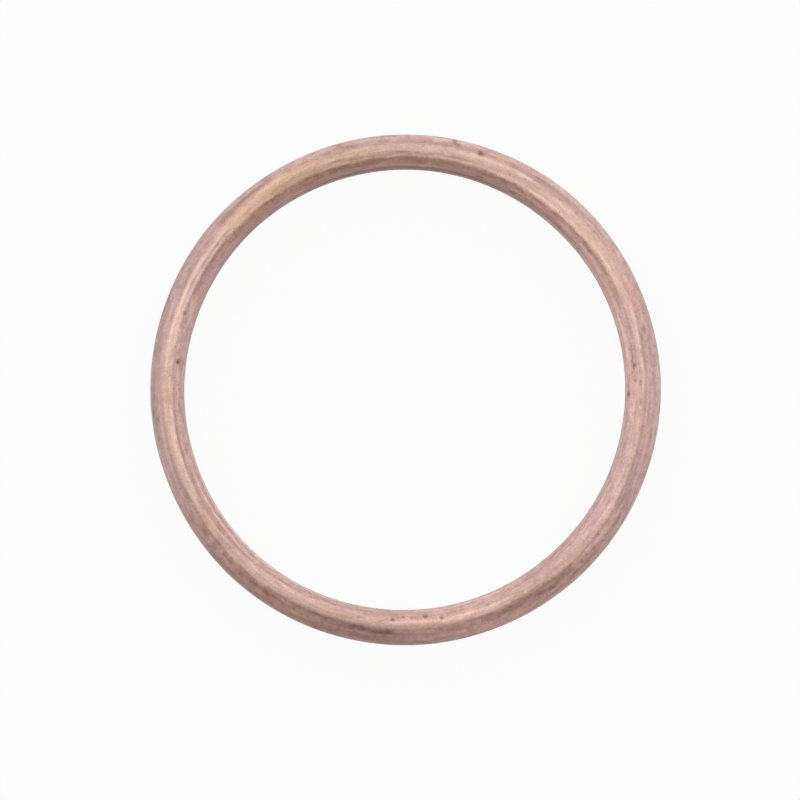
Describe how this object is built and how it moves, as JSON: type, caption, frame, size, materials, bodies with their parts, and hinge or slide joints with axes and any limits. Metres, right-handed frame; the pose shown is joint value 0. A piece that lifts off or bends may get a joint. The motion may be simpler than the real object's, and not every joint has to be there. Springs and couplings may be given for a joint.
{
  "type": "exhaust gasket",
  "caption": "Round copper crush gasket for an exhaust port: a hollow ring folded from thin sheet, with narrow flat lands above and below and a lapped seam under the bore side.",
  "frame": {"origin": "on the ring's axis, in the plane of its lower land, which it rests on", "axes": "+Z along the ring's axis towards the face seen in the picture, +X to that view's right, +Y to its top"},
  "size_m": [0.044, 0.044, 0.004],
  "materials": {
    "copper": "matte, dulled by oxide"
  },
  "bodies": {
    "root": {"gasket_ring": "copper"}
  },
  "joints": []
}
